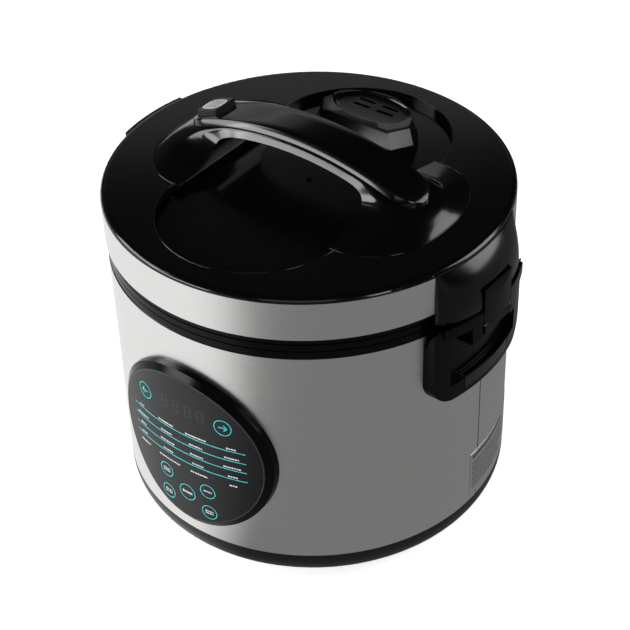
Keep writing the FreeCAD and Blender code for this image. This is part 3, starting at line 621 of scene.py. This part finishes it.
def cover_loop(y):
    # section across the cover: straight at its foot, then curving in to the lid's rim
    steps = 22
    inner = math.sqrt((BAND_R + 0.1) ** 2 - y * y)
    upper = math.sqrt((BAND_R + 0.5) ** 2 - y * y)
    reach = COVER_REACH - COVER_BULGE_R + math.sqrt(COVER_BULGE_R ** 2 - y * y)
    stand = (reach - upper) * (1.0 - abs(y / COVER_HALF) ** 9) ** 0.4
    curved = COVER_TOP - COVER_LOW - COVER_STRAIGHT
    points = [(inner, COVER_LOW), (upper + stand - 0.4, COVER_LOW)]
    for k in range(steps + 1):
        t = k / steps
        points.append((upper + stand * (1.0 - t ** 2.2), COVER_LOW + COVER_STRAIGHT + curved * t))
    points.append((inner, COVER_TOP))
    return [Vector((x, y, z)) * MM for x, z in points]


def make_hinge_cover():
    steps = 40
    stations = [COVER_HALF * math.sin(math.pi / 2 * k / steps) for k in range(-steps, steps + 1)]
    cover = skin_loops("hinge_cover_skin", [cover_loop(y) for y in stations])
    side = arm_hi[1] + ARM_GAP_SIDE
    x0, x1 = BAND_R - 10.0, COVER_REACH + 10.0
    outline = ((x0, -side), (x1, -side), (x1, side), (x0, side))
    cut_away(cover, prism("arm_slot", outline, COVER_LOW - 5.0, arm_hi[2] + ARM_GAP_TOP))
    smooth_by_angle(cover, 35.0)
    dress_piece(cover, "cover_black", "lid", "hinge_cover")


# Lap seam of the steel sheet under the hinge
def make_seam():
    half = 0.3
    rows = 24
    turn = math.radians(1.6)
    r = shell_hi[0] + 0.08
    low = shell_lo[2] + 0.5
    high = bracket_lo[2] - 0.2
    verts = []
    for k in range(rows + 1):
        for side in (-half, half):
            a = turn + side / r
            verts.append(Vector((r * math.cos(a), r * math.sin(a), low + (high - low) * k / rows)) * MM)
    faces = [(2 * k, 2 * k + 1, 2 * k + 3, 2 * k + 2) for k in range(rows)]
    seam = mesh_object("body_seam", verts, faces)
    recalc_normals(seam)
    dress_piece(seam, "seam_steel", "cooker_body")


# Rows of plain marks on the blank rating plate: drop from its top, height, sweep in degrees and
# stretch of the strokes
PLATE_ROWS = (
    (3.6, 3.0, 20.0, 1.6), (9.0, 1.2, 25.0, 1.0), (12.0, 1.2, 23.0, 1.0), (15.0, 1.2, 25.5, 1.0),
    (18.0, 1.2, 21.0, 1.0), (21.0, 1.2, 24.0, 1.0), (24.0, 1.2, 25.0, 1.0), (27.0, 1.2, 18.0, 1.0),
    (30.0, 1.2, 22.0, 1.0),
)
PLATE_STROKE = 0.55
PLATE_GAP = 0.3


def make_plate_marks():
    r = plate_hi[0] + 0.05
    start = math.degrees(math.asin(plate_lo[1] / r)) + 1.0
    verts = []
    faces = []
    for row, (drop, height, sweep, stretch) in enumerate(PLATE_ROWS):
        middle = plate_hi[2] - drop
        deg = start
        k = row
        while deg < start + sweep:
            width = DASHES[k % len(DASHES)] * PLATE_STROKE * stretch
            base = len(verts)
            for z in (middle - height / 2, middle + height / 2):
                for step in range(3):
                    a = math.radians(deg + width * step / 2)
                    verts.append(Vector((r * math.cos(a), r * math.sin(a), z)) * MM)
            faces += [(base, base + 1, base + 4, base + 3), (base + 1, base + 2, base + 5, base + 4)]
            deg += width + PLATE_GAP
            k += 1
    marks = mesh_object("rating_marks", verts, faces)
    recalc_normals(marks)
    dress_piece(marks, "seam_steel", "cooker_body")


# Prints on the control film: flat patches that follow the film's cylinder
def on_film(arc, z):
    radius = FILM_R + PRINT_LIFT
    a = arc / FILM_R
    return Vector((radius * math.sin(a), -radius * math.cos(a), z)) * MM


def arc_of(deg):
    return math.radians(deg) * FILM_R


class Print:
    def __init__(self):
        self.verts = []
        self.faces = []

    def strip(self, left, right):
        base = len(self.verts)
        for a, b in zip(left, right):
            self.verts.extend((on_film(*a), on_film(*b)))
        for i in range(len(left) - 1):
            k = base + 2 * i
            self.faces.append((k, k + 1, k + 3, k + 2))

    def ring(self, arc, z, r, width, steps=48):
        rims = ([], [])
        for i in range(steps + 1):
            a = 2 * math.pi * i / steps
            for rim, radius in zip(rims, (r - width, r)):
                rim.append((arc + radius * math.cos(a), z + radius * math.sin(a)))
        self.strip(*rims)

    def line(self, arc0, z0, arc1, z1, width, steps=24):
        dx, dz = arc1 - arc0, z1 - z0
        size = math.hypot(dx, dz)
        nx, nz = -dz / size * width / 2, dx / size * width / 2
        left = []
        right = []
        for i in range(steps + 1):
            t = i / steps
            x, z = arc0 + dx * t, z0 + dz * t
            left.append((x - nx, z - nz))
            right.append((x + nx, z + nz))
        self.strip(left, right)

    def dashes(self, start, end, z, height):
        # a row of short strokes with small gaps
        gap = 0.36
        x = start
        k = 0
        while x < end - 0.5:
            width = min(DASHES[k % len(DASHES)], end - x)
            self.line(x, z, x + width, z, height * (0.85 if k % 3 else 1.0), 2)
            x += width + gap
            k += 1

    def done(self, name, material, body):
        obj = mesh_object(name, self.verts, self.faces)
        recalc_normals(obj)
        dress_piece(obj, material, body)


# Keys: degrees round the film, height, radius
ARROW_KEYS = {"key_left": (-13.2, 131.0, 6.2), "key_right": (13.2, 131.0, 6.2)}
MARK_KEYS = {
    "key_timer": (-7.2, 73.5, 5.8), "key_delay": (-7.2, 55.0, 5.8), "key_menu": (0.0, 63.5, 6.6),
    "key_start": (7.0, 72.0, 5.8), "key_cancel": (7.0, 54.0, 5.8),
}
# rows of strokes on a key above and below its middle, half their length, their height
KEY_MARKS = {
    "key_timer": ((0.9, -0.9), 3.0, 1.1), "key_delay": ((0.9, -0.9), 3.0, 1.1),
    "key_menu": ((0.0,), 3.9, 1.9), "key_start": ((0.0,), 3.0, 1.1), "key_cancel": ((0.9, -0.9), 3.0, 1.1),
}
LINE_W = 0.66
ARROW_W = 0.75


def key_ring(deg, z, r):
    ring = Print()
    ring.ring(arc_of(deg), z, r - 0.02, LINE_W)
    return ring


def make_arrow_keys():
    for name, (deg, z, r) in ARROW_KEYS.items():
        ring = key_ring(deg, z, r)
        arc = arc_of(deg)
        way = math.copysign(1, deg)
        ring.line(arc - way * 3.0, z, arc + way * 2.7, z, ARROW_W, 6)
        for dz in (-2.3, 2.3):
            ring.line(arc + way * 3.0, z, arc + way * 0.6, z + dz, ARROW_W, 6)
        ring.done(name + "_ring", "print_teal", name + "_body")


def make_mark_keys():
    for name, (deg, z, r) in MARK_KEYS.items():
        key_ring(deg, z, r).done(name + "_ring", "print_teal", name + "_body")
        arc = arc_of(deg)
        rows, half, height = KEY_MARKS[name]
        mark = Print()
        for dz in rows:
            mark.dashes(arc - half, arc + half, z + dz, height)
        mark.done(name + "_mark", "print_white", name + "_body")


LINE_Z = (113.3, 105.4, 97.8, 90.2)
LINE_REACH = 45.4
MARK_H = 1.2
MARK_RAISE = 0.25
# rows of plain marks: height, then the start and end of each mark along the film
MARK_ROWS = (
    (115.0, ((-39.4, -34.9), (-20.1, -7.1), (3.0, 18.5), (32.5, 39.1))),
    (107.1, ((-42.3, -31.2), (-18.7, -9.0), (5.3, 16.1), (30.8, 41.0))),
    (99.4, ((-40.0, -34.1), (-19.6, -7.2), (5.3, 16.0), (29.8, 42.1))),
    (91.8, ((-40.0, -34.3), (-18.0, -8.9), (6.4, 15.0), (32.4, 39.7))),
    (84.2, ((-41.9, -31.7), (-22.7, -4.2), (4.5, 17.4), (33.2, 38.8))),
)


def make_panel_prints():
    teal = Print()
    for z in LINE_Z:
        teal.line(-LINE_REACH, z, LINE_REACH, z, LINE_W, 48)
    teal.done("panel_lines", "print_teal", "cooker_body")
    white = Print()
    for z, cells in MARK_ROWS:
        for start, end in cells:
            white.dashes(start, end, z + MARK_RAISE, MARK_H)
    white.done("panel_marks", "print_white", "cooker_body")


def make_panel_edge():
    # thin lighter line just inside the film's edge: a painted highlight along the film's rim
    inset = 0.7
    width = 0.28
    steps = 144
    half_x = film_hi[0] - inset
    half_z = (film_hi[2] - film_lo[2]) / 2 - inset
    middle = (film_hi[2] + film_lo[2]) / 2
    rims = ([], [])
    for i in range(steps + 1):
        a = 2 * math.pi * i / steps
        for rim, inward in zip(rims, (0.0, width)):
            x = (half_x - inward) * math.cos(a)
            rim.append((math.asin(x / FILM_R) * FILM_R, middle + (half_z - inward) * math.sin(a)))
    line = Print()
    line.strip(*rims)
    line.done("painted_panel_edge_highlight", "painted_edge_highlight", "cooker_body")


# Unlit digits of the display: ends of the seven strokes as shares of a digit's width and height
SEGMENTS = ((0, 1, 1, 1), (1, 1, 1, 0.5), (1, 0.5, 1, 0), (0, 0, 1, 0), (0, 0, 0, 0.5), (0, 0.5, 0, 1),
            (0, 0.5, 1, 0.5))
DIGIT_X = (-14.6, -5.4, 4.2, 13.4)
DIGIT_W = 4.4
DIGIT_H = 8.4
DIGIT_Z = 129.8
DIGIT_STROKE = 0.7


def make_digits():
    ghost = Print()
    for x in DIGIT_X:
        for u0, v0, u1, v1 in SEGMENTS:
            ghost.line(x + DIGIT_W * u0, DIGIT_Z + DIGIT_H * v0, x + DIGIT_W * u1, DIGIT_Z + DIGIT_H * v1,
                       DIGIT_STROKE, 4)
    ghost.done("panel_digits", "print_grey", "cooker_body")


# Release button: a patch on its sloping top painted pale as a highlight, with small raised dots
BUTTON_RISE = 5.5
BUTTON_SLOPE_START = button_lo[0] + 3.0
BUTTON_SLOPE_END = button_hi[0] - 5.0
PATCH_X = BUTTON_X - 1.0
PATCH_HALF = (7.4, 6.9)
PATCH_SQUARE = 0.7
DOT_PITCH = 2.1
DOT_REACH = 2
# radius and height of the rings of a dot, from its foot up
DOT_RINGS = ((0.55, -0.05), (0.5, 0.20), (0.3, 0.26))


def button_height(x):
    share = (x - BUTTON_SLOPE_START) / (BUTTON_SLOPE_END - BUTTON_SLOPE_START)
    return button_hi[2] + BUTTON_RISE * (share - 1.0)


def make_button_patch():
    # thin inlay with a rounded outline, its pale colour a painted highlight
    count = 48
    half_x, half_y = PATCH_HALF
    loops = []
    for share, lift in ((1.0, -0.2), (1.0, 0.06), (0.96, 0.12)):
        loop = []
        for k in range(count):
            a = 2 * math.pi * k / count
            c, d = math.cos(a), math.sin(a)
            x = PATCH_X + half_x * share * math.copysign(abs(c) ** PATCH_SQUARE, c)
            y = half_y * share * math.copysign(abs(d) ** PATCH_SQUARE, d)
            loop.append(Vector((x, y, button_height(x) + lift)) * MM)
        loops.append(loop)
    patch = skin_loops("button_highlight_inlay", loops)
    smooth_by_angle(patch, 30.0)
    dress_piece(patch, "button_patch_highlight", "button")


def add_dot(verts, faces, x, y):
    count = 10
    base = len(verts)
    for r, lift in DOT_RINGS:
        verts += circle_loop(x, y, r, button_height(x) + lift, count)
    for low in (base, base + count):
        for k in range(count):
            m = (k + 1) % count
            faces.append((low + k, low + m, low + count + m, low + count + k))
    faces.append(tuple(base + 2 * count + k for k in range(count)))
    faces.append(tuple(base + k for k in reversed(range(count))))


def make_button_dots():
    verts = []
    faces = []
    for i in range(-DOT_REACH, DOT_REACH + 1):
        for j in range(-DOT_REACH, DOT_REACH + 1):
            add_dot(verts, faces, PATCH_X + DOT_PITCH * i, DOT_PITCH * j)
    dots = mesh_object("button_dots", verts, faces)
    dress_piece(dots, "satin_black", "button")


# Studio: pale floor, white surround, soft lamps; for reflections the floor also carries a painted glow,
# brighter towards the front left
BRIGHT_SIDE = (-0.966, -0.259, 0.0)
AMBIENT = 0.45
FLOOR_SIZE = 8.0
FLOOR_GLOW = 0.70


def bright_side(tree, point):
    # how far a direction round the object turns to its bright front left, and the height of the point
    split = node(tree, "ShaderNodeSeparateXYZ")
    tree.links.new(point, split.inputs[0])
    flat = node(tree, "ShaderNodeCombineXYZ")
    tree.links.new(split.outputs["X"], flat.inputs["X"])
    tree.links.new(split.outputs["Y"], flat.inputs["Y"])
    unit = node(tree, "ShaderNodeVectorMath", operation="NORMALIZE")
    tree.links.new(flat.outputs[0], unit.inputs[0])
    side = node(tree, "ShaderNodeVectorMath", operation="DOT_PRODUCT")
    side.inputs[1].default_value = BRIGHT_SIDE
    tree.links.new(unit.outputs[0], side.inputs[0])
    return side.outputs["Value"], split.outputs["Z"]


def seen_rays(tree):
    # the camera's own rays, and those that come off or through something
    path = node(tree, "ShaderNodeLightPath")
    both = node(tree, "ShaderNodeMath", operation="MAXIMUM")
    tree.links.new(path.outputs["Is Glossy Ray"], both.inputs[0])
    tree.links.new(path.outputs["Is Transmission Ray"], both.inputs[1])
    return path.outputs["Is Camera Ray"], both.outputs[0]


def product(tree, a, b):
    made = node(tree, "ShaderNodeMath", operation="MULTIPLY")
    tree.links.new(a, made.inputs[0])
    tree.links.new(b, made.inputs[1])
    return made.outputs[0]


def make_world():
    world = bpy.data.worlds.new("studio")
    bpy.context.scene.world = world
    world.use_nodes = True
    tree = world.node_tree
    camera, glossy = seen_rays(tree)
    side, height = bright_side(tree, node(tree, "ShaderNodeTexCoord").outputs["Generated"])
    lit = ramp(tree, side, 0.05, 0.35, 0.15, 1.0)
    low = ramp(tree, height, 0.44, 0.68, 1.0, 0.03)
    first = node(tree, "ShaderNodeMix", data_type="FLOAT")
    first.inputs["A"].default_value = AMBIENT
    tree.links.new(glossy, first.inputs["Factor"])
    tree.links.new(product(tree, lit, low), first.inputs["B"])
    second = node(tree, "ShaderNodeMix", data_type="FLOAT")
    second.inputs["B"].default_value = 1.0
    tree.links.new(camera, second.inputs["Factor"])
    tree.links.new(first.outputs["Result"], second.inputs["A"])
    tree.links.new(second.outputs["Result"], tree.nodes["Background"].inputs["Strength"])


def make_floor_material():
    tree, shader = new_material("pale_floor")
    shader.inputs["Base Color"].default_value = (0.86, 0.86, 0.86, 1)
    shader.inputs["Roughness"].default_value = 0.9
    shader.inputs["Specular IOR Level"].default_value = 0.0
    camera, glossy = seen_rays(tree)
    # painted pool of light: reflected rays see the floor glow brighter towards the front left, standing in
    # for lamplight falling on it
    side = bright_side(tree, object_point(tree))[0]
    lit = ramp(tree, side, 0.05, 0.40, 0.22, 1.0)
    glow = node(tree, "ShaderNodeMath", operation="MULTIPLY_ADD")
    glow.inputs[1].default_value = FLOOR_GLOW
    tree.links.new(camera, glow.inputs[0])
    tree.links.new(product(tree, glossy, lit), glow.inputs[2])
    emit = node(tree, "ShaderNodeEmission")
    tree.links.new(glow.outputs[0], emit.inputs["Strength"])
    summed = node(tree, "ShaderNodeAddShader")
    tree.links.new(shader.outputs[0], summed.inputs[0])
    tree.links.new(emit.outputs[0], summed.inputs[1])
    share = node(tree, "ShaderNodeMixShader")
    tree.links.new(glossy, share.inputs[0])
    tree.links.new(summed.outputs[0], share.inputs[1])
    tree.links.new(emit.outputs[0], share.inputs[2])
    tree.links.new(share.outputs[0], tree.nodes["Material Output"].inputs["Surface"])


def make_floor():
    make_floor_material()
    corners = [(x * FLOOR_SIZE, y * FLOOR_SIZE, 0) for x, y in ((-1, -1), (1, -1), (1, 1), (-1, 1))]
    floor = mesh_object("floor", corners, [(0, 1, 2, 3)], False)
    paint(floor, "pale_floor")


def area_light(name, place, target, size, power):
    lamp = bpy.data.lights.new(name, "AREA")
    lamp.shape = "RECTANGLE"
    lamp.size, lamp.size_y = size
    lamp.energy = power
    obj = link(bpy.data.objects.new(name, lamp))
    obj.location = place
    aim = Vector(target) - Vector(place)
    obj.rotation_euler = aim.to_track_quat("-Z", "Y").to_euler()


def make_lights():
    # place, target and size in metres, power in watts
    body = (0.0, 0.0, 0.14)
    lid = (0.0, 0.0, 0.23)
    hinge = (0.1, 0.0, 0.21)
    area_light("left_softbox", (-1.25, -0.75, 0.75), body, (0.8, 0.8), 15.0)
    area_light("front_strip", (-0.80, -1.39, 0.52), body, (1.0, 0.36), 12.0)
    area_light("back_softbox", (1.05, 0.95, 0.98), body, (0.9, 0.6), 8.0)
    area_light("hinge_card", (1.22, 1.00, 0.52), hinge, (0.7, 0.45), 5.5)
    area_light("right_card", (1.42, -0.44, 0.55), body, (0.4, 0.7), 5.0)
    area_light("left_back_card", (-0.95, 1.14, 0.62), lid, (0.9, 0.55), 0.6)
    area_light("high_back_card", (-0.93, 1.18, 0.97), lid, (1.3, 0.28), 0.34)
    area_light("front_fill", (0.9, -1.5, 1.1), body, (1.2, 1.0), 4.0)


def make_camera():
    az, el, roll = (math.radians(v) for v in (VIEW_AZ, VIEW_EL, VIEW_ROLL))
    turn = Matrix.Rotation(az, 3, "Z")
    forward = turn @ Vector((0, math.cos(el), -math.sin(el)))
    level = turn @ Vector((1, 0, 0))
    over = level.cross(forward)
    right = math.cos(roll) * level + math.sin(roll) * over
    up = -math.sin(roll) * level + math.cos(roll) * over
    place = -forward * VIEW_DIST - right * VIEW_SHIFT[0] - up * VIEW_SHIFT[1]
    place.z += VIEW_TARGET_Z
    data = bpy.data.cameras.new("camera")
    data.sensor_width = SENSOR
    data.lens = LENS
    camera = link(bpy.data.objects.new("camera", data))
    rotation = Matrix((right, up, -forward)).transposed()
    camera.matrix_world = Matrix.Translation(place * MM) @ rotation.to_4x4()
    bpy.context.scene.camera = camera


make_metals()
make_mouldings()
make_prints()
dress_cad_nodes()
soften_edges()
make_handle()
make_handle_cap()
make_steam_cap()
make_steam_stem()
make_beads()
make_hinge_cover()
make_seam()
make_plate_marks()
make_arrow_keys()
make_mark_keys()
make_panel_prints()
make_panel_edge()
make_digits()
make_button_patch()
make_button_dots()
make_world()
make_floor()
make_lights()
make_camera()
bpy.context.scene.view_settings.view_transform = "Standard"
